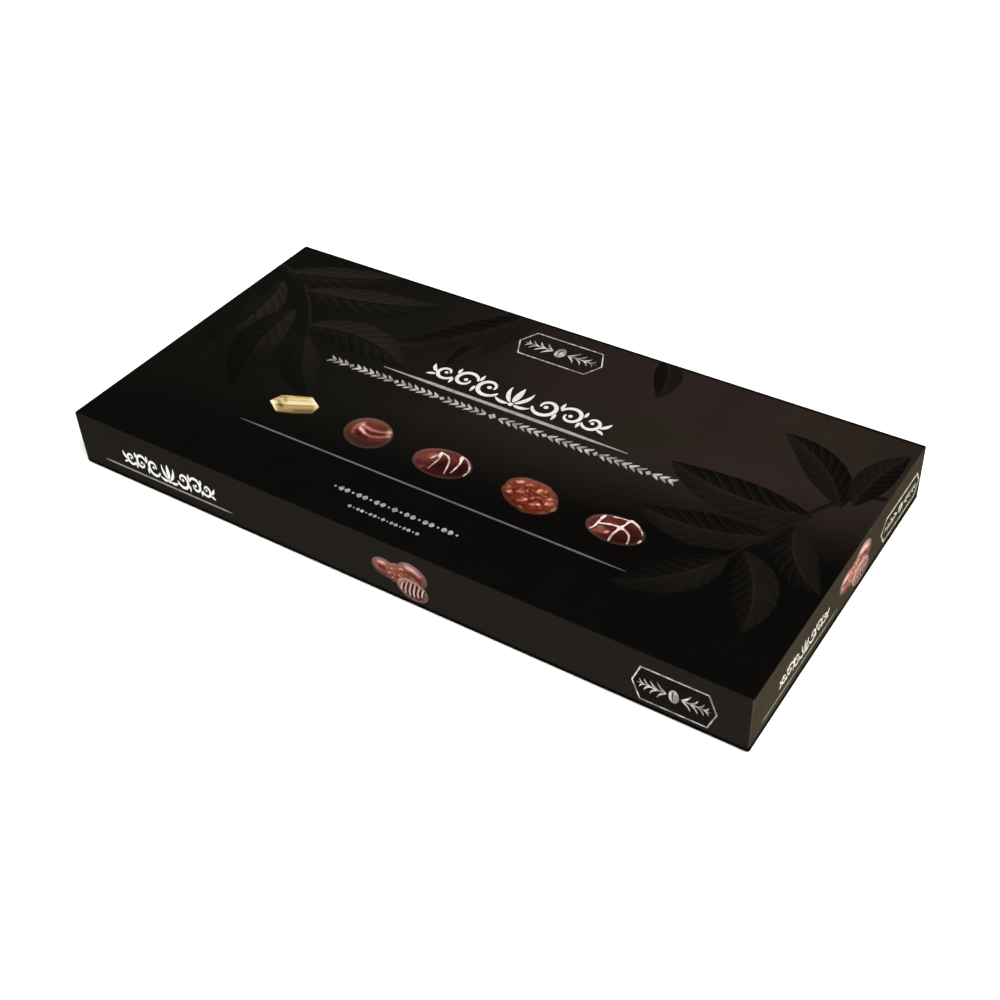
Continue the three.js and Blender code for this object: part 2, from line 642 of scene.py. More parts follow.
finishes = {
    "top_print": satin_print("top_print", top_colour),
    "wall_print": satin_print("wall_print", wall_colour),
    "end_wall_painted_light_print": satin_print("end_wall_painted_light_print", end_wall_painted_light_colour),
    "bare_board": bare_board_material(),
    "leaf_ink": satin_print("leaf_ink", leaf_colour),
}
finishes |= {name: satin_print(name, picture_colour, *picture) for name, picture in PICTURES.items()}
finishes |= {name: satin_print(name, ink_colour, *ink) for name, ink in INKS.items()}


# Pieces

def add_shape(name, bm, materials):
    """The finished shape as an object at the origin, with its finishes."""
    mesh = bpy.data.meshes.new(name)
    bm.to_mesh(mesh)
    bm.free()
    for material in materials:
        mesh.materials.append(material)
    return add_object(name, mesh)


def make_piece(name, bm, inks):
    """A shape that rides on the box, with its finishes by name."""
    piece = add_shape(name, bm, [finishes[ink] for ink in inks])
    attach(piece, "root")
    return piece


def whole(bm):
    return bm.verts[:] + bm.edges[:] + bm.faces[:]


def cut_across(bm, axis, place, **clear):
    """A cut through the whole shape, square to the axis."""
    point = Vector((0.0, 0.0, 0.0))
    point[axis] = place
    normal = Vector((0.0, 0.0, 0.0))
    normal[axis] = 1.0
    bmesh.ops.bisect_plane(bm, geom=whole(bm), plane_co=point, plane_no=normal, dist=CUT_PRECISION, **clear)


def pull_out(bm, faces):
    """Draws new faces out of those faces, with sides down to them, and gives the new faces' corners."""
    drawn = bmesh.ops.extrude_face_region(bm, geom=faces)["geom"]
    return [v for v in drawn if isinstance(v, bmesh.types.BMVert)]


def panel_cuts(reach):
    """Places of the cuts that let a panel bend, evenly spaced inside its two edges."""
    count = max(2, round(2 * reach / PANEL_STEP))
    return [reach * (2 * i / count - 1) for i in range(1, count)]


def crown(x, y):
    """How far the top panel stands proud there: most in its middle, nothing at its folds."""
    return CROWN * max(0.0, math.cos(math.pi * x / LENGTH) * math.cos(math.pi * y / WIDTH))


# The lid: five panels of board, open below

LID_FINISHES = ("top_print", "wall_print", "bare_board", "end_wall_painted_light_print")


def outside_block():
    """The lid's outside, with its upright folds and both its rims rounded."""
    bm = bmesh.new()
    bmesh.ops.create_cube(bm, size=1.0)
    bmesh.ops.scale(bm, vec=(LENGTH, WIDTH, TOP - RIM), verts=bm.verts)
    bmesh.ops.translate(bm, vec=(0.0, 0.0, (TOP + RIM) / 2), verts=bm.verts)
    rounding = {"segments": FOLD_SEGMENTS, "profile": 0.5, "affect": "EDGES", "material": -1}
    upright = [e for e in bm.edges if abs(e.verts[0].co.z - e.verts[1].co.z) > NEAR]
    bmesh.ops.bevel(bm, geom=upright, offset=FOLD_RADIUS, offset_type="OFFSET", **rounding)
    level = [e for e in bm.edges if abs(e.verts[0].co.z - e.verts[1].co.z) < NEAR]
    bmesh.ops.bevel(bm, geom=level, offset=RIM_RADIUS, offset_type="OFFSET", **rounding)
    return bm


def hollow_out(bm):
    """The room inside: the underside is inset to the wall's thickness and pushed up to the panel."""
    under = min(bm.faces, key=lambda f: f.calc_center_median().z - f.calc_area())
    bmesh.ops.inset_region(bm, faces=[under], thickness=LID_WALL - RIM_RADIUS, use_even_offset=True)
    ceiling = pull_out(bm, [under])
    bmesh.ops.translate(bm, vec=(0.0, 0.0, TOP - BOARD - RIM), verts=ceiling)
    if under.is_valid:
        bmesh.ops.delete(bm, geom=[under], context="FACES_ONLY")


def is_corner_seam(face, end):
    middle = face.calc_center_median()
    from_edge = WIDTH / 2 - abs(middle.y)
    in_strip = SEAM_FROM_EDGE < from_edge < SEAM_FROM_EDGE + SEAM_WIDTH
    return in_strip and end * middle.x > LENGTH / 2 - NEAR and end * face.normal.x > ON_WALL


def cut_corner_seams(bm):
    """A hairline beside each upright fold of the end walls, where the board's edge meets the long wall."""
    for side in (-1, 1):
        for inset in (SEAM_FROM_EDGE, SEAM_FROM_EDGE + SEAM_WIDTH):
            cut_across(bm, 1, side * (WIDTH / 2 - inset))
    for end in (-1, 1):
        seams = [f for f in bm.faces if is_corner_seam(f, end)]
        floor_of_groove = pull_out(bm, seams)
        bmesh.ops.translate(bm, vec=(-end * SEAM_DEPTH, 0.0, 0.0), verts=floor_of_groove)
        bmesh.ops.delete(bm, geom=[f for f in seams if f.is_valid], context="FACES")


def lid_finish(face):
    """The print on the top, the walls and the end walls, whose brown is painted lighter for their brighter
    light, and bare board inside.
    """
    middle = face.calc_center_median()
    inside = abs(middle.x) < LENGTH / 2 - LID_WALL / 2 and abs(middle.y) < WIDTH / 2 - LID_WALL / 2
    if inside and middle.z < TOP - BOARD / 2:
        return "bare_board"
    if face.normal.z > FACING:
        return "top_print"
    if abs(face.normal.x) > FACING:
        return "end_wall_painted_light_print"
    return "wall_print"


def make_lid():
    bm = outside_block()
    hollow_out(bm)
    cut_corner_seams(bm)
    for x in panel_cuts(LENGTH / 2):
        cut_across(bm, 0, x)
    for y in panel_cuts(WIDTH / 2):
        cut_across(bm, 1, y)
    bmesh.ops.recalc_face_normals(bm, faces=bm.faces[:])
    bm.normal_update()
    fold = bm.faces.layers.float.new("fold")
    for face in bm.faces:
        face.material_index = LID_FINISHES.index(lid_finish(face))
        face.smooth = max(abs(c) for c in face.normal) < FLAT
        face[fold] = float(face.smooth)
    for vert in bm.verts:
        if vert.co.z > TOP - BOARD - HAIR:
            vert.co.z += crown(vert.co.x, vert.co.y)
    lid = make_piece("lid_board", bm, LID_FINISHES)
    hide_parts("lid")


def finish_tray():
    """The tray keeps its own shape and gets a coat of bare board."""
    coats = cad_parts["tray"].data.materials
    coats.clear()
    coats.append(finishes["bare_board"])


# Drawing with ink

class Print:
    """Flat inked shapes on one panel, in millimetres. Each lies a hair above the last."""

    def __init__(self, step=SHAPE_STEP, weight=1.0):
        self.bm = bmesh.new()
        values = self.bm.verts.layers.float
        self.tone = values.new("tone")
        self.along = values.new("along")
        self.across = values.new("across")
        self.rim = values.new("rim")
        self.edge = values.new("edge")
        self.step = step
        self.weight = weight
        self.shapes = 0

    def settle(self, verts, ink=0, tone=0.5):
        """Gives a new shape its level, its ink and its tone."""
        for vert in verts:
            vert[self.tone] = tone
            vert.co.z = self.shapes * self.step
        for face in {f for v in verts for f in v.link_faces}:
            face.material_index = ink
        self.shapes += 1
        return verts

    def mirror(self, verts=None):
        """Repeats those shapes, or all that is drawn so far, on the other side of the middle line."""
        drawn = whole(self.bm)
        if verts is not None:
            drawn = verts + [part for v in verts for part in (*v.link_edges, *v.link_faces)]
        once = list(dict.fromkeys(drawn))
        bmesh.ops.mirror(self.bm, geom=once, matrix=Matrix(), merge_dist=0.0, axis="X")

    def trim(self, half_length, half_width):
        """Cuts off what runs over the panel's edges."""
        for axis, reach in ((0, half_length), (1, half_width)):
            cut_across(self.bm, axis, reach, clear_outer=True)
            cut_across(self.bm, axis, -reach, clear_inner=True)


def bow(root, tip, bend):
    """A path from root to tip that swings out sideways by bend at its middle."""
    start = Vector(root)
    along = Vector(tip) - start
    side = Vector((-along.y, along.x)).normalized()
    return lambda t: start + along * t + side * bend * 4 * t * (1 - t)


def through(*points):
    """A smooth path through the points."""
    knots = [Vector(p) for p in points]
    knots = [2 * knots[0] - knots[1]] + knots + [2 * knots[-1] - knots[-2]]
    spans = len(knots) - 3

    def path(t):
        span = min(spans - 1, int(t * spans))
        s = t * spans - span
        a, b, c, d = knots[span:span + 4]
        straight = 2 * b + (c - a) * s
        return 0.5 * (straight + (2 * a - 5 * b + 4 * c - d) * s ** 2 + (3 * b - a - 3 * c + d) * s ** 3)
    return path


SCROLL_TIGHTENING = 1.4
SWELL_FULLNESS = 0.8
LEAF_BELLY = 0.42
LOOK_AHEAD = 0.25
RULE_TIP = 0.15
RULE_STEPS = 60


def scroll(centre, radius, end_radius, start, sweep):
    """A path that winds round a centre from one radius to another, in degrees."""
    middle = Vector(centre)

    def path(t):
        angle = math.radians(start + sweep * t)
        reach = radius + (end_radius - radius) * t ** SCROLL_TIGHTENING
        return middle + reach * Vector((math.cos(angle), math.sin(angle)))
    return path


def swell(widest, thinnest=0.0, place=0.5):
    """A stroke's half width: thin at both ends and widest at a place along it."""
    power = math.log(0.5) / math.log(place)

    def half_width(t):
        fullness = max(0.0, math.sin(math.pi * t ** power)) ** SWELL_FULLNESS
        return thinnest + (widest - thinnest) * fullness
    return half_width


def stroke(sheet, path, half_width, ink=0, tone=0.5, steps=STROKE_STEPS):
    """A strip of squares bent along a path, as wide as half_width(t) on each side of it."""
    strip = bmesh.ops.create_grid(sheet.bm, x_segments=steps, y_segments=1, size=0.5)["verts"]
    step = LOOK_AHEAD / steps
    for vert in strip:
        t = vert.co.x + 0.5
        hand = 2 * vert.co.y
        ahead = path(min(1.0, t + step)) - path(max(0.0, t - step))
        side = Vector((-ahead.y, ahead.x)).normalized()
        vert.co.x, vert.co.y = path(t) + side * half_width(t) * sheet.weight * hand
        vert[sheet.along] = t
        vert[sheet.across] = hand
    return sheet.settle(strip, ink, tone)


def bead(sheet, centre, radius, corners=16, squash=1.0):
    """A round dot, or with four corners a lozenge."""
    dot = bmesh.ops.create_circle(sheet.bm, cap_ends=True, segments=corners, radius=radius)["verts"]
    bmesh.ops.scale(sheet.bm, vec=(1.0, squash, 1.0), verts=dot)
    bmesh.ops.translate(sheet.bm, vec=(*centre, 0.0), verts=dot)
    return sheet.settle(dot)


def leaf(sheet, root, tip, half_width, bend=0.0, steps=STROKE_STEPS):
    """A small pointed leaf."""
    return stroke(sheet, bow(root, tip, bend), swell(half_width, 0.0, LEAF_BELLY), steps=steps)


def draw_rule(line, fade):
    """A straight line that thins out at both ends, given by its ends, its height and its half width."""
    left, right, height, half_width = line
    sheet = Print()

    def taper(t):
        return half_width * min(1.0, RULE_TIP + min(t, 1 - t) * fade)
    stroke(sheet, bow((left, height), (right, height), 0.0), taper, steps=RULE_STEPS)
    return sheet


def bend_cuts(sheet):
    """Trims a print to the flat of the top panel and cuts it where the panel bends."""
    bm = sheet.bm
    sheet.trim((LENGTH / 2 - FOLD_RADIUS) / MM, (WIDTH / 2 - FOLD_RADIUS) / MM)
    for axis, reach in ((0, LENGTH / 2), (1, WIDTH / 2)):
        for cut in panel_cuts(reach):
            cut_across(bm, axis, cut / MM)
    bmesh.ops.dissolve_degenerate(bm, edges=bm.edges, dist=MERGE)


def lay_print(name, sheet, inks, place, level=INK_LEVEL):
    """Thickens the inked shapes into closed slabs and lays them on their panel."""
    bm = sheet.bm
    bmesh.ops.remove_doubles(bm, verts=bm.verts, dist=MERGE)
    bmesh.ops.dissolve_degenerate(bm, edges=bm.edges, dist=MERGE)
    bmesh.ops.transform(bm, matrix=place["drawn"], verts=bm.verts)
    if place["bends"]:
        bend_cuts(sheet)
    bm.normal_update()
    bmesh.ops.reverse_faces(bm, faces=[f for f in bm.faces if f.normal.z < 0])
    foot = bm.verts[:]
    for vert in pull_out(bm, bm.faces[:]):
        vert.co.z += level
    for vert in foot:
        vert.co.z = -INK_DEPTH
    bmesh.ops.recalc_face_normals(bm, faces=bm.faces[:])
    bmesh.ops.transform(bm, matrix=place["panel"] @ Matrix.Scale(MM, 4), verts=bm.verts)
    if place["bends"]:
        for vert in bm.verts:
            vert.co.z += crown(vert.co.x, vert.co.y)
    make_piece(name, bm, inks)


def on_top(x=0.0, y=0.0, scale=1.0):
    """A place on the top panel, in millimetres from its middle. The panel bends to its crown."""
    drawn = Matrix.Translation((x, y, 0.0)) @ Matrix.Diagonal((scale, scale, 1.0, 1.0))
    return {"drawn": drawn, "panel": Matrix.Translation((0.0, 0.0, TOP)), "bends": True}


def wall_panel(turn, distance):
    """The plane of a wall: drawn x runs along it to the right, and drawn y up from the table."""
    upright = Matrix.Translation((0.0, -distance, 0.0)) @ Matrix.Rotation(math.radians(90), 4, "X")
    return Matrix.Rotation(math.radians(turn), 4, "Z") @ upright


def on_wall(panel, x=0.0, height=0.0, scale=(1.0, 1.0)):
    """A place on a wall, in millimetres from the middle of its foot."""
    drawn = Matrix.Translation((x, height, 0.0)) @ Matrix.Diagonal((*scale, 1.0, 1.0))
    return {"drawn": drawn, "panel": panel, "bends": False}


# Ornaments

# Each leaf of the arabesque's right half: its root, its tip, its half width and its bend
PALMETTE_LEAVES = (
    ((1.0, -5.0), (6.0, 6.0), 1.25, -1.5),
    ((1.3, -6.0), (9.6, -4.4), 1.1, -1.2),
)
SCROLL_LEAVES = (
    ((22.3, 2.2), (22.3, 7.1), 0.9, 0.0),
    ((22.3, -2.2), (22.3, -7.1), 0.9, 0.0),
    ((34.9, 2.2), (34.9, 6.4), 0.9, 0.0),
    ((34.9, -2.2), (34.9, -6.4), 0.9, 0.0),
    ((44.6, -1.6), (48.6, 3.8), 1.1, -0.8),
    ((44.2, -3.4), (48.6, -5.2), 0.9, 0.4),
)
# Each scroll: its centre, its two radii with its start and its sweep, its widest and its thinnest half
# width, its steps and the bead in its eye
SCROLLS = (
    ((15.6, 0.0), (6.5, 2.5, -160, 350), (1.2, 0.5), 40, 1.15),
    ((28.8, -0.2), (6.0, 2.3, 165, -350), (1.1, 0.45), 40, 1.05),
    ((40.2, 0.0), (4.9, 1.9, -160, 330), (1.0, 0.4), 36, 0.9),
)
SCROLL_BELLY = 0.35
MIDDLE_LEAF = ((0.0, -4.4), (0.0, 7.4), 1.8)
MIDDLE_BEAD = ((0.0, -6.2), 1.2)


def draw_title(weight):
    """An open arabesque, 96 long and 14.4 high: a palmette between scrolls that grow smaller outwards."""
    sheet = Print(weight=weight)
    for shape in PALMETTE_LEAVES:
        leaf(sheet, *shape)
    for centre, winding, widths, steps, eye in SCROLLS:
        stroke(sheet, scroll(centre, *winding), swell(*widths, SCROLL_BELLY), steps=steps)
        bead(sheet, centre, eye)
    for shape in SCROLL_LEAVES:
        leaf(sheet, *shape)
    sheet.mirror()
    leaf(sheet, *MIDDLE_LEAF)
    bead(sheet, *MIDDLE_BEAD)
    return sheet


SMALL_LEAF_STEPS = 8
LEAVES_TO_A_LOZENGE = 7
# The laurel band in half heights: its pitch, its leaves' half width and bend, and its lozenges
LAUREL_PITCH = 1.5
LAUREL_HALF_WIDTH = 0.27
LAUREL_BEND = 0.17
SMALL_LOZENGE = 0.58
LARGE_LOZENGE = 0.8
# The same band in pitches: where its first leaf springs, how long a leaf is, and what stays free outside
FIRST_LAUREL = 0.9
LAUREL_REACH = 1.05
BAND_END = 1.5
# Half the gap between a pair of leaves at their root, in millimetres
LAUREL_GAP = 0.2


def draw_band(length, half_height):
    """A laurel band: pairs of small leaves that point outwards from a lozenge in the middle."""
    sheet = Print()
    pitch = half_height * LAUREL_PITCH
    for i in range(round(length / 2 / pitch - BAND_END)):
        x = pitch * (i + FIRST_LAUREL)
        if i % LEAVES_TO_A_LOZENGE == LEAVES_TO_A_LOZENGE - 1:
            bead(sheet, (x + pitch / 2, 0.0), half_height * SMALL_LOZENGE, corners=4)
            continue
        for side in (-1, 1):
            root = (x, side * LAUREL_GAP)
            tip = (x + pitch * LAUREL_REACH, side * half_height)
            bend = -side * half_height * LAUREL_BEND
            leaf(sheet, root, tip, half_height * LAUREL_HALF_WIDTH, bend, steps=SMALL_LEAF_STEPS)
    sheet.mirror()
    bead(sheet, (0.0, 0.0), half_height * LARGE_LOZENGE, corners=4)
    return sheet


# A row of beads, in its spindles' half widths: its small beads and the lozenge in the middle
SMALL_BEAD = 0.45
MIDDLE_LOZENGE = 1.25
SPINDLE_HALF_LENGTH = 0.42
BEADS_TO_A_GROUP = 3


def draw_beads(length, radius, pitch):
    """A row of spindles and small beads, with a lozenge in the middle."""
    sheet = Print()
    for i in range(int(length / 2 / pitch)):
        x = pitch * (i + 1)
        if i % BEADS_TO_A_GROUP == 0:
            bead(sheet, (x, 0.0), radius * SMALL_BEAD, corners=10)
        else:
            reach = pitch * SPINDLE_HALF_LENGTH
            leaf(sheet, (x - reach, 0.0), (x + reach, 0.0), radius, steps=SMALL_LEAF_STEPS)
    sheet.mirror()
    bead(sheet, (0.0, 0.0), radius * MIDDLE_LOZENGE, corners=4)
    return sheet


PLAQUE_CORNERS = 6
PLAQUE_SHOULDER = 0.8


def plaque(sheet, length, height, line=0.0, ink=0):
    """A long six-sided plaque: filled, or with a line width only its outline."""
    rim = bmesh.ops.create_circle(sheet.bm, cap_ends=True, segments=PLAQUE_CORNERS, radius=1.0)["verts"]
    quarter_turn = Matrix.Rotation(math.radians(90), 3, "Z")
    bmesh.ops.rotate(sheet.bm, verts=rim, cent=(0.0, 0.0, 0.0), matrix=quarter_turn)
    shoulders = [v for v in rim if abs(v.co.x) < PLAQUE_SHOULDER]
    for vert in shoulders:
        vert.co.x = math.copysign(PLAQUE_SHOULDER, vert.co.x)
        vert.co.y = math.copysign(1.0, vert.co.y)
    bmesh.ops.scale(sheet.bm, vec=(length / 2, height / 2, 1.0), verts=rim)
    if line == 0.0:
        return sheet.settle(rim, ink)
    face = rim[0].link_faces[0]
    ring = bmesh.ops.inset_individual(sheet.bm, faces=[face], thickness=line, use_even_offset=True)["faces"]
    outline = list({v for f in ring for v in f.verts})
    bmesh.ops.delete(sheet.bm, geom=[face], context="FACES_ONLY")
    return sheet.settle(outline, ink)


# The emblem as drawn: lengths across it are for EMBLEM_LENGTH, and heights for EMBLEM_HEIGHT
EMBLEM_LENGTH = 42.0
EMBLEM_HEIGHT = 21.0
# Each pair of a sprig's leaves: how far along the stem it springs, and its size
SPRIG_LEAVES = ((0.0, 1.0), (4.0, 0.88), (7.6, 0.74), (10.6, 0.58))
SPRIG_STEPS = 10
STEM_ROOT = 3.6
STEM_LENGTH = 14.6
STEM_HALF_WIDTH = 0.34
SPRIG_REACH = (4.6, 5.0)
SPRIG_GAP = 0.2
SPRIG_HALF_WIDTH = 0.56
SPRIG_BEND = 0.8
BEAN_HALF_SIZE = (2.5, 4.0)
CREASE_REACH = 3.8
CREASE_BEND = 0.7
CREASE_HALF_WIDTH = 0.36


def draw_sprig(sheet, across, unit):
    """A stem with pairs of leaves, to the right of the bean."""
    sprig = []
    for reach, size in SPRIG_LEAVES:
        x = (STEM_ROOT + reach) * across
        for side in (-1, 1):
            root = (x, side * SPRIG_GAP * unit)
            tip = (x + SPRIG_REACH[0] * size * across, side * SPRIG_REACH[1] * size * unit)
            half_width = SPRIG_HALF_WIDTH * size * unit
            sprig += leaf(sheet, root, tip, half_width, -side * SPRIG_BEND * unit, steps=SPRIG_STEPS)
    stem = ((STEM_ROOT * across, 0.0), ((STEM_ROOT + STEM_LENGTH) * across, 0.0))
    sprig += leaf(sheet, *stem, STEM_HALF_WIDTH * unit, steps=SPRIG_STEPS)
    return sprig


def draw_emblem(length, height, line, weight):
    """The plaque with an outline, round a bean between two sprigs."""
    sheet = Print(weight=weight)
    across = length / EMBLEM_LENGTH
    unit = height / EMBLEM_HEIGHT
    plaque(sheet, length - unit, height - unit, ink=1)
    plaque(sheet, length, height, line)
    sheet.mirror(draw_sprig(sheet, across, unit))
    half_length, half_height = BEAN_HALF_SIZE
    squash = half_height * unit / (half_length * across)
    bead(sheet, (0.0, 0.0), half_length * across, corners=24, squash=squash)
    crease = bow((0.0, -CREASE_REACH * unit), (0.0, CREASE_REACH * unit), CREASE_BEND * across)
    stroke(sheet, crease, swell(CREASE_HALF_WIDTH * unit), ink=1)
    return sheet


# Tonal leaves over the top panel

# Each leaf: its root, its tip, its half width and its bend
LEAVES = (
    ((164, 30), (122, 66), 9.5, -5.0),
    ((168, 34), (177, 78), 8.0, 3.0),
    ((156, 18), (86, 22), 12.0, 6.0),
    ((152, 10), (178, -24), 9.5, -5.0),
    ((146, -2), (88, -12), 11.0, 6.0),
    ((140, -16), (160, -60), 10.0, 5.0),
    ((136, -22), (100, -60), 10.0, 5.0),
    ((-172, 62), (-112, 88), 11.0, -4.0),
    ((-168, 54), (-166, -14), 11.5, 6.0),
    ((-150, 53), (-78, 75), 12.0, -5.0),
    ((-144, 36), (-126, -34), 12.0, -6.0),
    ((-128, 26), (-62, 20), 12.5, 7.0),
    ((-122, 18), (-88, -22), 10.0, -4.0),
    ((-24, 94), (-44, 28), 8.5, -4.0),
    ((-32, 94), (-80, 34), 10.5, 7.0),
    ((46, 92), (58, 60), 7.0, 3.0),
)
STEMS = (
    ((190, 46), (168, 40), (150, 12), (134, -28)),
    ((-184, 68), (-160, 60), (-138, 40), (-120, 16)),
)
LONG_LEAF_STEPS = 32
LONG_LEAF_BELLY = 0.45
STEM_WIDTHS = (1.6, 0.7)


def stem_half_width(t):
    root, tip = STEM_WIDTHS
    return root + (tip - root) * t


def make_tonal_leaves():
    """Two sprays of long leaves that hang in from the ends, and single leaves between."""
    sheet = Print(LEAF_STEP)
    for points in STEMS:
        stroke(sheet, through(*points), stem_half_width)
    for root, tip, half_width, bend in LEAVES:
        stroke(sheet, bow(root, tip, bend), swell(half_width, 0.0, LONG_LEAF_BELLY), steps=LONG_LEAF_STEPS)
    lay_print("tonal_leaves", sheet, ("leaf_ink",), on_top(), LEAF_LEVEL)


# Pictures of sweets, each drawn as a disc of rings whose tones are the light on its domed top

# How finely a sweet is drawn, large on the top or small on a wall: its segments and its rings
LARGE_DISC = (96, 36)
SMALL_DISC = (64, 22)
# Where its pale rim starts and is full, as shares of its radius
LARGE_RIM = (0.78, 0.94)
SMALL_RIM = (0.50, 0.94)
# How grey that rim is, on plain, drizzled and nutty sweets, and how dark the outermost edge is
FULL_RIM = 0.85
DRIZZLED_RIM = 0.65
NUTTY_RIM = 0.5
LARGE_EDGE = 1.0
SMALL_EDGE = 0.35

# The light in the pictures, and what it gives to a tone
PICTURE_LIGHT = Vector((-0.35, 0.60, 0.72)).normalized()
PICTURE_GLINT = (PICTURE_LIGHT + Vector((0.0, 0.0, 1.0))).normalized()
UNLIT_TONE = 0.10
LIT_TONE = 0.36
LIT_POWER = 1.3
GLINT_TONE = 0.12
GLINT_POWER = 60
SLOPE_STEP = 0.01

# A sweet's height over the unit circle, and nuts strewn on it: their sizes and their height to their size
DOME_HEIGHT = 0.75
DOME_EDGE = 0.01
NUTTY_DOME = 0.7
NUT_FIELD = 0.95
NUT_SIZES = (0.12, 0.26)
NUT_HEIGHTS = (0.4, 0.9)

# Glints on the nuts: how far out they lie, and their turn, sizes, lean, length to their size and strengths
GLINT_FIELD = 0.82
GLINT_TURN = 0.382
GLINT_JITTER = 0.3
GLINT_SIZES = (0.035, 0.065)
GLINT_LEAN = 0.6
GLINT_LENGTH = 1.2
GLINT_STRENGTHS = (0.14, 0.6)
# The dark gap below each: how far down it starts and ends, to the glint's size, and its strength
GAP_BELOW = (2.8, 2.6)
GAP_STRENGTH = -0.24

# Waves in the edge of a ragged sweet: how many to the round, how deep, and where they start
RAGGED_WAVES = ((5, 1.0, 1.0), (9, 0.7, 0.0), (14, 0.5, 0.0))


def plain_dome(u, v):
    """Height over the unit circle of a smooth moulded sweet."""
    return DOME_HEIGHT * math.sqrt(max(DOME_EDGE, 1.0 - u * u - v * v))


def nut_dome(count, seed):
    """Height of a sweet rolled in chopped nuts, with the nuts strewn by a seeded draw."""
    draw = random.Random(seed)
    nuts = []
    while len(nuts) < count:
        u, v = draw.uniform(-1, 1), draw.uniform(-1, 1)
        if u * u + v * v < NUT_FIELD:
            nuts.append((u, v, draw.uniform(*NUT_SIZES), draw.uniform(*NUT_HEIGHTS)))

    def height(u, v):
        bump = 0.0
        for x, y, size, tall in nuts:
            near = 1.0 - ((u - x) ** 2 + (v - y) ** 2) / size ** 2
            if near > 0:
                bump = max(bump, tall * size * math.sqrt(near))
        return plain_dome(u, v) * NUTTY_DOME + bump
    return height


def nut_glints(count, seed):
    """Small pale glints and dark gaps between the nuts, strewn by a seeded draw."""
    draw = random.Random(seed)
    marks = []
    for i in range(count):
        bearing = math.tau * (i + draw.uniform(-GLINT_JITTER, GLINT_JITTER)) * GLINT_TURN
        reach = GLINT_FIELD * math.sqrt((i + 0.5) / count)
        u, v = reach * math.cos(bearing), reach * math.sin(bearing)
        size = draw.uniform(*GLINT_SIZES)
        lean = draw.uniform(-GLINT_LEAN, GLINT_LEAN)
        half = GLINT_LENGTH * size
        along_u, along_v = half * math.sin(lean), half * math.cos(lean)
        glint = ((u - along_u, v - along_v), (u + along_u, v + along_v))
        gap = ((u - size, v - GAP_BELOW[0] * size), (u + size, v - GAP_BELOW[1] * size))
        marks.append((glint, size, draw.uniform(*GLINT_STRENGTHS)))
        marks.append((gap, size, GAP_STRENGTH))
    return tuple(marks)


def line_distance(spot, points):
    """How far the spot lies from a line through the points."""
    nearest = math.inf
    for start, end in zip(points, points[1:]):
        along = Vector(end) - Vector(start)
        share = (spot - Vector(start)).dot(along) / along.length_squared
        nearest = min(nearest, (spot - Vector(start) - along * max(0.0, min(1.0, share))).length)
    return nearest


def brushed(marks, u, v):
    """Light and shade laid on by brush: a mark is its line, its width and how much lighter it is."""
    spot = Vector((u, v))
    total = 0.0
    for line, width, strength in marks:
        total += strength * math.exp(-(line_distance(spot, line) / width) ** 2)
    return total


def picture_tone(height, marks, u, v):
    """The tone there: the light on the sweet's height, from the upper left, and what is brushed over it."""
    slope_u = (height(u + SLOPE_STEP, v) - height(u - SLOPE_STEP, v)) / (2 * SLOPE_STEP)
    slope_v = (height(u, v + SLOPE_STEP) - height(u, v - SLOPE_STEP)) / (2 * SLOPE_STEP)
    normal = Vector((-slope_u, -slope_v, 1.0)).normalized()
    lit = max(0.0, normal.dot(PICTURE_LIGHT)) ** LIT_POWER
    glint = max(0.0, normal.dot(PICTURE_GLINT)) ** GLINT_POWER
    return UNLIT_TONE + LIT_TONE * lit + GLINT_TONE * glint + brushed(marks, u, v)


def smooth_share(value, low, high):
    share = max(0.0, min(1.0, (value - low) / (high - low)))
    return share * share * (3 - 2 * share)


def edge_wave(bearing):
    return sum(depth * math.sin(count * bearing + start) for count, depth, start in RAGGED_WAVES)


def draw_sweet(sheet, centre, half_size, turn, height, marks=(), ragged=0.0, ink=0, lift=0.0,
               rim=FULL_RIM, rim_lift=0.0, small=False):
    """A sweet seen from above. Its tones may be lifted, and its rim greyed and lifted by so much."""
    segments, rings = SMALL_DISC if small else LARGE_DISC
    outline = bmesh.ops.create_circle(sheet.bm, cap_ends=True, segments=segments, radius=1.0)["verts"]
    cap = outline[0].link_faces[0]
    verts = set(outline)
    for _ in range(1, rings):
        bmesh.ops.inset_individual(sheet.bm, faces=[cap], thickness=1.0 / rings, use_even_offset=True)
        verts.update(cap.verts)
    turned = Matrix.Rotation(math.radians(turn), 2)
    tones = {}
    for vert in verts:
        u, v = vert.co.x, vert.co.y
        near_rim = smooth_share(math.hypot(u, v), *(SMALL_RIM if small else LARGE_RIM))
        tones[vert] = picture_tone(height, marks, u, v) + lift + rim_lift * near_rim
        vert[sheet.rim] = rim * near_rim
        edge = 1.0 + ragged * edge_wave(math.atan2(v, u))
        vert.co.xy = Vector(centre) + turned @ Vector((u * half_size[0] * edge, v * half_size[1] * edge))
    sheet.settle(list(verts), ink)
    for vert, tone in tones.items():
        vert[sheet.tone] = tone
    for vert in outline:
        vert[sheet.edge] = SMALL_EDGE if small else LARGE_EDGE


# Drizzle: its shadow's shift, its tone and its widths to the drizzle's, and how both thin out
SHADOW_SHIFT = (0.35, -0.45)
SHADOW_TONE = 0.02
SHADOW_WIDTHS = (1.2, 0.7)
DRIZZLE_END = 0.55
DRIZZLE_BELLY = 0.3
DROP_END = 0.3


def draw_drops(sheet, drops, ink):
    for points, half_width in drops:
        stroke(sheet, through(*points), swell(half_width, half_width * DROP_END), ink)


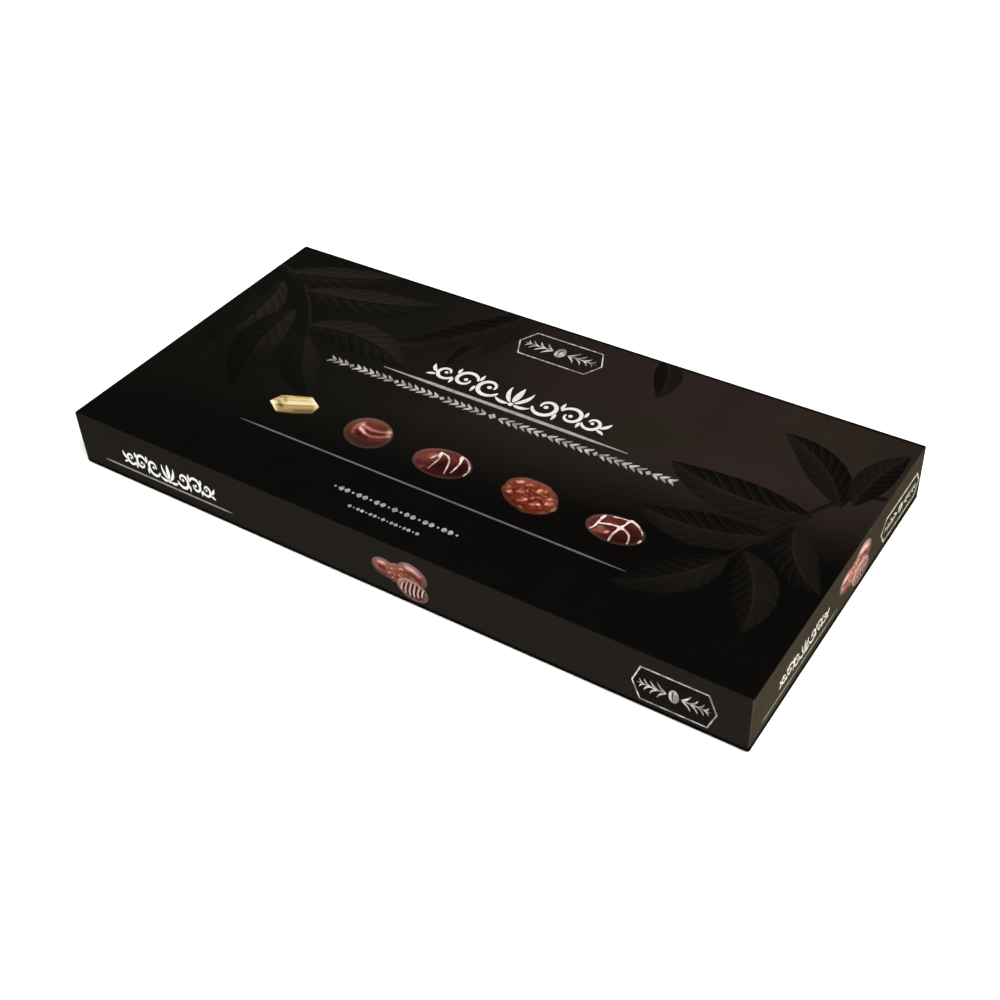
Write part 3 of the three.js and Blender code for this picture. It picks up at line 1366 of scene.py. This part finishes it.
def draw_drizzle(sheet, lines, half_width, ink, shadow_ink=0):
    """Lines of pale drizzle, each over its own thin shadow."""
    shadow_half_width = swell(*(half_width * share for share in SHADOW_WIDTHS), DRIZZLE_BELLY)
    for points in lines:
        shadow = [(x + SHADOW_SHIFT[0], y + SHADOW_SHIFT[1]) for x, y in points]
        stroke(sheet, through(*shadow), shadow_half_width, shadow_ink, SHADOW_TONE)
    for points in lines:
        stroke(sheet, through(*points), swell(half_width, half_width * DRIZZLE_END, DRIZZLE_BELLY), ink)


# A bar in gold foil, drawn as a fine grid cut to the bar's outline

BAR_OUTLINE = (
    (-12.2, -3.4), (-3.9, -8.8), (4.6, -5.8), (12.5, -1.4), (12.1, 4.5), (4.2, 9.1), (-10.0, 3.2),
)
BAR_TURN = 25.6
BAR_HALF_WIDTH = 6.9
BAR_CELL = 0.5
# Tones across the bar, from its near edge to its far one
BAR_PROFILE = (
    (-1.0, 0.05),
    (-0.80, 0.36),
    (-0.55, 0.46),
    (-0.25, 0.56),
    (-0.12, 0.38),
    (0.02, 0.78),
    (0.22, 0.86),
    (0.48, 0.64),
    (0.62, 0.78),
    (0.80, 0.60),
    (1.0, 0.42),
)
BAR_MARKS = (
    (((-12.0, -3.0), (-9.0, -5.0), (-5.2, -7.6)), 1.1, 0.46),
    (((-11.2, -1.8), (-8.6, 1.6)), 0.8, -0.16),
    (((-7.2, 2.8), (-5.0, -0.6)), 0.8, -0.26),
    (((-8.0, -1.6), (-6.6, -2.8)), 0.9, -0.44),
    (((-5.4, -3.0), (-4.4, -4.0)), 0.9, -0.40),
    (((-6.8, -4.6), (-5.0, -6.6)), 0.5, -0.10),
    (((-7.6, 4.0), (-4.4, 5.2)), 0.9, 0.22),
    (((5.4, 8.0), (9.2, 5.6), (11.4, 3.6)), 1.1, 0.34),
    (((3.6, -3.4), (10.6, 0.0)), 1.2, -0.26),
    (((-2.6, -0.6), (5.6, 3.4)), 1.0, 0.10),
)

BAR_SHEET_HALF = 13.0
BAR_EDGE = 0.8


def bar_tone(x, y):
    """Light and dark bands along the bar, with its folded end."""
    turned = Matrix.Rotation(math.radians(-BAR_TURN), 2) @ Vector((x, y))
    place = max(-1.0, min(1.0, turned.y / BAR_HALF_WIDTH))
    bands = list(zip(BAR_PROFILE, BAR_PROFILE[1:]))
    (low, tone), (high, next_tone) = next(pair for pair in bands if place <= pair[1][0])
    share = (place - low) / (high - low)
    return tone + (next_tone - tone) * share + brushed(BAR_MARKS, x, y)


def draw_foil_bar():
    """A sheet of small squares, cut to the bar's outline one side after another."""
    sheet = Print()
    bm = sheet.bm
    cells = round(2 * BAR_SHEET_HALF / BAR_CELL)
    bmesh.ops.create_grid(bm, x_segments=cells, y_segments=cells, size=BAR_SHEET_HALF)
    for start, end in zip(BAR_OUTLINE, BAR_OUTLINE[1:] + BAR_OUTLINE[:1]):
        along = Vector(end) - Vector(start)
        outward = Vector((along.y, -along.x, 0.0)).normalized()
        corner = Vector((*start, 0.0))
        bmesh.ops.bisect_plane(bm, geom=whole(bm), plane_co=corner, plane_no=outward, clear_outer=True)
    sheet.settle(bm.verts[:])
    for vert in bm.verts:
        vert[sheet.tone] = bar_tone(vert.co.x, vert.co.y)
        vert[sheet.edge] = BAR_EDGE if vert.is_boundary else 0.0
    return sheet


# The sweets' brushed light and shade, in their own unit circles. Each mark: its line, its width and how
# much lighter it makes the tone.

SWIRL_MARKS = (
    (((-0.44, 0.02), (-0.05, -0.12), (0.24, -0.10), (0.50, 0.10), (0.72, 0.38)), 0.090, 0.40),
    (((-0.46, 0.24), (-0.08, 0.22), (0.28, 0.36), (0.60, 0.64)), 0.085, 0.36),
    (((-0.58, 0.36), (-0.66, 0.05), (-0.60, -0.16), (-0.46, -0.40)), 0.085, 0.30),
    (((-0.50, 0.30), (-0.52, 0.10), (-0.40, -0.02)), 0.055, 0.30),
    (((-0.36, -0.01), (-0.16, -0.09)), 0.10, 0.40),
    (((0.54, 0.68), (0.72, 0.46)), 0.13, 0.38),
    (((-0.34, 0.44), (0.00, 0.50), (0.34, 0.62)), 0.13, -0.16),
    (((-0.14, 0.04), (0.14, 0.08), (0.46, 0.32)), 0.075, -0.24),
    (((-0.40, -0.24), (-0.10, -0.30), (0.20, -0.28)), 0.09, -0.26),
    (((-0.30, -0.42), (-0.20, -0.12)), 0.05, -0.16),
    (((-0.10, -0.55), (0.30, -0.50), (0.66, -0.20)), 0.20, -0.06),
    (((0.10, -0.36), (0.42, -0.26), (0.70, 0.04)), 0.05, 0.14),
)
ZIGZAG_MARKS = (
    (((-0.66, -0.05), (-0.50, 0.30)), 0.30, 0.22),
    (((-0.02, -0.30), (0.02, 0.20)), 0.14, -0.22),
    (((0.58, -0.10), (0.62, 0.30)), 0.14, -0.20),
    (((-0.52, -0.62), (-0.46, -0.55)), 0.10, 0.36),
    (((-0.40, 0.08), (-0.34, 0.36)), 0.09, 0.34),
    (((0.10, -0.20), (0.62, -0.25)), 0.42, -0.14),
    (((0.22, 0.55), (0.36, 0.40)), 0.16, 0.12),
)
ZIGZAG_LINES = (
    ((-4.5, 6.3), (-3.1, 2.3), (-3.3, -1.6), (-3.6, -6.4)),
    ((-4.5, 6.3), (-0.6, 5.4), (2.0, 2.8), (3.4, -0.8), (4.9, -5.9)),
    ((5.4, 8.5), (7.0, 4.6), (7.4, 0.4), (7.2, -4.0)),
    ((5.4, 8.5), (9.2, 7.1), (12.4, 3.9), (13.8, 0.6), (13.4, -2.9)),
    ((-5.0, 3.4), (-5.9, 1.8), (-6.6, 0.4)),
)
# Short thick drops where the drizzle turns or crosses: their points and their half width
ZIGZAG_DROPS = (
    (((-4.7, 6.6), (-4.1, 4.8), (-3.5, 2.8)), 0.85),
    (((5.2, 8.6), (6.0, 7.0), (6.9, 4.8)), 0.9),
)
CLUSTER_MARKS = (
    (((-0.78, -0.30), (-0.76, -0.18)), 0.070, 0.24),
    (((-0.66, 0.26), (-0.62, 0.42)), 0.070, 0.56),
    (((-0.40, 0.40), (-0.36, 0.54)), 0.065, 0.44),
    (((0.02, 0.42), (0.06, 0.58)), 0.065, 0.42),
    (((-0.30, -0.14), (-0.25, 0.00)), 0.055, 0.50),
    (((0.00, -0.44), (0.03, -0.28)), 0.060, 0.60),
    (((0.32, -0.34), (0.44, -0.16)), 0.085, 0.62),
    (((0.24, 0.36), (0.34, 0.44)), 0.070, 0.32),
    (((0.50, 0.38), (0.54, 0.54)), 0.065, 0.54),
    (((0.66, 0.18), (0.72, 0.32)), 0.065, 0.36),
    (((0.88, 0.26), (0.92, -0.05)), 0.050, 0.46),
    (((0.84, -0.30), (0.74, -0.50)), 0.060, 0.30),
    (((0.30, 0.24), (0.62, 0.06)), 0.30, 0.12),
    (((-0.56, -0.20), (-0.50, 0.02)), 0.075, -0.20),
    (((-0.20, -0.30), (-0.12, -0.16)), 0.065, -0.20),
    (((-0.08, 0.04), (0.04, 0.10)), 0.065, -0.22),
    (((0.18, 0.02), (0.36, 0.06), (0.56, 0.00)), 0.050, -0.40),
    (((0.20, -0.02), (0.16, -0.34)), 0.045, -0.24),
    (((-0.36, 0.22), (-0.16, 0.26)), 0.055, -0.20),
    (((0.34, 0.66), (0.20, 0.30)), 0.045, -0.22),
)
CROSSED_MARKS = (
    (((-0.56, -0.50), (-0.38, -0.46), (-0.44, -0.20)), 0.24, 0.42),
    (((-0.19, -0.40), (-0.14, -0.26)), 0.075, 0.60),
    (((-0.30, 0.02), (-0.05, -0.20)), 0.12, -0.14),
    (((0.46, 0.30), (0.62, -0.20)), 0.30, -0.10),
    (((0.14, -0.40), (0.30, -0.60)), 0.22, -0.12),
    (((-0.20, 0.50), (0.16, 0.52)), 0.16, -0.08),
)
CROSSED_LINES = (
    ((-8.0, 6.0), (-8.7, 1.8), (-8.9, -2.3), (-10.0, -4.8)),
    ((-8.2, 0.3), (-4.2, 1.7), (-0.9, 2.3), (3.0, 1.9), (6.2, 0.2), (7.9, -2.4), (8.7, -5.6)),
    ((0.8, -7.7), (0.4, -3.4), (1.3, 1.6), (2.4, 5.4), (3.2, 8.0)),
    ((3.0, 8.1), (5.6, 7.6), (7.9, 6.4), (9.8, 4.8)),
    ((12.9, -0.6), (12.4, -3.0)),
)
CROSSED_FAINT_LINES = (
    ((-4.8, 6.9), (-0.8, 7.7), (3.4, 8.1)),
    ((9.2, 5.4), (10.9, 3.9), (12.0, 2.2)),
)
CROSSED_DROPS = (
    (((-8.7, 2.6), (-8.5, 4.4), (-7.9, 6.2)), 0.8),
    (((0.7, -0.2), (1.4, 2.0), (2.0, 4.2)), 0.95),
    (((-0.8, 2.3), (1.4, 2.1), (3.4, 1.7)), 0.8),
    (((2.2, 5.6), (3.2, 8.0), (5.4, 7.8)), 0.8),
)

# Each sweet on the top: its middle, its half size and its turn
SWIRL_ROUND = ((0.0, 0.0), (12.9, 10.8), -11.0)
ZIGZAG_OVAL = ((0.0, 0.0), (15.2, 9.8), 3.0)
NUT_CLUSTER = ((0.0, 0.0), (15.0, 10.2), -15.0)
CROSSED_OVAL = ((0.0, 0.0), (14.1, 8.5), 0.0)
CLUSTER_RAGGED = 0.018
ZIGZAG_DRIZZLE = 0.50
CROSSED_DRIZZLE = 0.56
CROSSED_FAINT_DRIZZLE = 0.36


def draw_swirl_round():
    """A smooth sweet with swept ribs."""
    sheet = Print()
    draw_sweet(sheet, *SWIRL_ROUND, plain_dome, SWIRL_MARKS)
    return sheet


def draw_zigzag_oval():
    """A dark oval sweet with a zigzag of pale drizzle."""
    sheet = Print()
    draw_sweet(sheet, *ZIGZAG_OVAL, plain_dome, ZIGZAG_MARKS, rim=DRIZZLED_RIM)
    draw_drizzle(sheet, ZIGZAG_LINES, ZIGZAG_DRIZZLE, ink=1)
    draw_drops(sheet, ZIGZAG_DROPS, ink=2)
    return sheet


def draw_nut_cluster():
    """A rough sweet of chopped nuts in milk chocolate."""
    sheet = Print()
    nuts = nut_dome(count=64, seed=5)
    marks = CLUSTER_MARKS + nut_glints(count=16, seed=3)
    draw_sweet(sheet, *NUT_CLUSTER, nuts, marks, ragged=CLUSTER_RAGGED, rim=NUTTY_RIM)
    return sheet


def draw_crossed_oval():
    """A dark oval sweet with crossing lines of pale drizzle."""
    sheet = Print()
    draw_sweet(sheet, *CROSSED_OVAL, plain_dome, CROSSED_MARKS, rim=DRIZZLED_RIM)
    draw_drizzle(sheet, CROSSED_FAINT_LINES, CROSSED_FAINT_DRIZZLE, ink=1)
    draw_drizzle(sheet, CROSSED_LINES, CROSSED_DRIZZLE, ink=1)
    draw_drops(sheet, CROSSED_DROPS, ink=2)
    return sheet


# The small sweets on a wall

DOME_MARKS = (
    (((-0.50, 0.36), (-0.10, 0.52), (0.36, 0.42)), 0.15, 0.30),
    (((-0.36, -0.10), (0.10, 0.04), (0.50, -0.10)), 0.12, -0.26),
    (((-0.20, -0.46), (0.40, -0.40)), 0.14, 0.16),
    (((-0.62, -0.20), (-0.44, -0.44)), 0.12, 0.20),
)
# Each small sweet: its middle, its half size and its turn, and how much lighter those at the back are
WALL_DOMES = (
    (((6.8, 5.0), (8.0, 6.0), -22.0), 0.20),
    (((-8.2, 2.4), (7.2, 5.4), -8.0), 0.14),
)
WALL_CLUSTER = ((-1.4, 1.8), (6.8, 6.2), 0.0)
WALL_CLUSTER_LIGHTER = 0.16
WALL_CLUSTER_RAGGED = 0.03
WALL_OVAL = ((6.0, -4.2), (8.4, 6.0), -10.0)
WALL_RIM = 1.0
WALL_NUTTY_RIM = 0.6
OVAL_RIM_LIFT = 0.34
WALL_DRIZZLE = 0.46
# Each line of drizzle falls from an upper point to a lower one, and the outer lines are shorter
WALL_DRIZZLE_LINES = 6
WALL_DRIZZLE_START = 0.2
WALL_DRIZZLE_PITCH = 2.2
WALL_DRIZZLE_FALL = ((0.0, -8.2), (-0.3, -5.4), (0.4, -2.6), (1.3, 0.6))
WALL_DRIZZLE_SAG = 0.30


def wall_drizzle_lines():
    """Lines side by side over the front sweet, shorter towards both sides, as its outline falls away."""
    lower, *between, upper = WALL_DRIZZLE_FALL
    lines = []
    for i in range(WALL_DRIZZLE_LINES):
        x = WALL_DRIZZLE_START + WALL_DRIZZLE_PITCH * i
        sag = WALL_DRIZZLE_SAG * (i - (WALL_DRIZZLE_LINES - 1) / 2) ** 2
        fall = ((lower[0], lower[1] + sag), *between, (upper[0], upper[1] - sag))
        lines.append([(x + shift, height) for shift, height in fall])
    return lines


def draw_wall_sweets(lift):
    """Four small sweets in a group: two domes, a nut cluster between and a drizzled oval in front."""
    sheet = Print()
    for dome, lighter in WALL_DOMES:
        draw_sweet(sheet, *dome, plain_dome, DOME_MARKS, lift=lift + lighter, rim=WALL_RIM, small=True)
    nuts = nut_dome(count=30, seed=9)
    draw_sweet(sheet, *WALL_CLUSTER, nuts, nut_glints(count=12, seed=8), ragged=WALL_CLUSTER_RAGGED, ink=1,
               lift=lift + WALL_CLUSTER_LIGHTER, rim=WALL_NUTTY_RIM, small=True)
    draw_sweet(sheet, *WALL_OVAL, plain_dome, ink=2, lift=lift, rim=WALL_RIM, rim_lift=OVAL_RIM_LIFT,
               small=True)
    draw_drizzle(sheet, wall_drizzle_lines(), WALL_DRIZZLE, ink=3, shadow_ink=2)
    return sheet


# The print on each panel

def make_top_print():
    emblem = draw_emblem(*TOP_EMBLEM_SIZE)
    prints = (
        ("top_emblem", emblem, ("emblem_ink", "plaque_ink"), "white_ink", TOP_EMBLEM_AT),
        ("top_arabesque", draw_title(TITLE_WEIGHT), ("white_ink",), "white_ink", (*TITLE_AT, TITLE_SCALE)),
        ("laurel_band", draw_band(BAND_LENGTH, BAND_HALF), ("pale_ink",), "white_ink", BAND_AT),
        ("upper_rule", draw_rule(UPPER_RULE, UPPER_RULE_FADE), ("mid_grey_ink",), "grey_ink", ()),
        ("lower_rule", draw_rule(LOWER_RULE, LOWER_RULE_FADE), ("grey_ink",), "grey_ink", ()),
        ("bead_row", draw_beads(*BEADS), ("light_grey_ink",), "grey_ink", BEADS_AT),
        ("small_bead_row", draw_beads(*SMALL_BEADS), ("light_grey_ink",), "grey_ink", SMALL_BEADS_AT),
    )
    for name, sheet, inks, slot, place in prints:
        lay_print(name, sheet, inks, on_top(*place))


def make_top_pictures():
    pictures = (
        ("foil_bar_picture", draw_foil_bar(), ("foil_print",)),
        ("swirl_round_picture", draw_swirl_round(), ("milk_print",)),
        ("zigzag_oval_picture", draw_zigzag_oval(), ("dark_print", "drizzle_ink", "drop_ink")),
        ("nut_cluster_picture", draw_nut_cluster(), ("nut_print",)),
        ("crossed_oval_picture", draw_crossed_oval(), ("dark_print", "drizzle_ink", "drop_ink")),
    )
    for (name, sheet, inks), place in zip(pictures, SWEETS_AT):
        lay_print(name, sheet, inks, on_top(*place))


WALL_SWEETS_INKS = ("wall_milk_print", "wall_nut_print", "wall_dark_print", "wall_drizzle_ink")


def make_wall_print(wall, turn, distance, layout):
    """An arabesque over a rule, a group of sweets and an emblem, named after their wall."""
    panel = wall_panel(turn, distance)
    title = draw_title(layout["title_weight"])
    title_place = on_wall(panel, *layout["title"], layout["title_scale"])
    lay_print(wall + "_arabesque", title, layout["title_inks"], title_place)
    rule = draw_rule(layout["rule"], WALL_RULE_FADE)
    lay_print(wall + "_rule", rule, layout["rule_inks"], on_wall(panel))
    sweets = draw_wall_sweets(layout["sweets_painted_light_lift"])
    sweets_place = on_wall(panel, *layout["sweets"], layout["sweets_scale"])
    lay_print(wall + "_sweets_picture", sweets, WALL_SWEETS_INKS, sweets_place)
    emblem = draw_emblem(*layout["emblem_size"])
    emblem_place = on_wall(panel, *layout["emblem"])
    lay_print(wall + "_emblem", emblem, layout["emblem_inks"], emblem_place)


# The floor: a round sheet of pale paper that curves up all round, and that the film doesn't mirror

def make_floor():
    bm = bmesh.new()
    profile = [bm.verts.new((0.0, 0.0, 0.0)), bm.verts.new((FLOOR_RADIUS, 0.0, 0.0))]
    bm.edges.new(profile)
    bmesh.ops.spin(bm, geom=[profile[1]], cent=(FLOOR_RADIUS, 0.0, SWEEP_RADIUS), axis=(0.0, -1.0, 0.0),
                   angle=math.radians(SWEEP_TURN), steps=SWEEP_STEPS)
    bmesh.ops.spin(bm, geom=bm.verts[:] + bm.edges[:], cent=(0.0, 0.0, 0.0), axis=(0.0, 0.0, 1.0),
                   angle=math.tau, steps=FLOOR_SEGMENTS, use_merge=True)
    bmesh.ops.remove_doubles(bm, verts=bm.verts, dist=NEAR)
    bmesh.ops.recalc_face_normals(bm, faces=bm.faces[:])
    floor = add_shape("floor", bm, [floor_material()])
    floor.data.shade_smooth()
    floor.visible_glossy = False


make_camera()
make_light()
make_floor()
make_lid()
finish_tray()
make_tonal_leaves()
make_top_print()
make_top_pictures()
for wall, layout in WALLS.items():
    make_wall_print(wall, *layout)
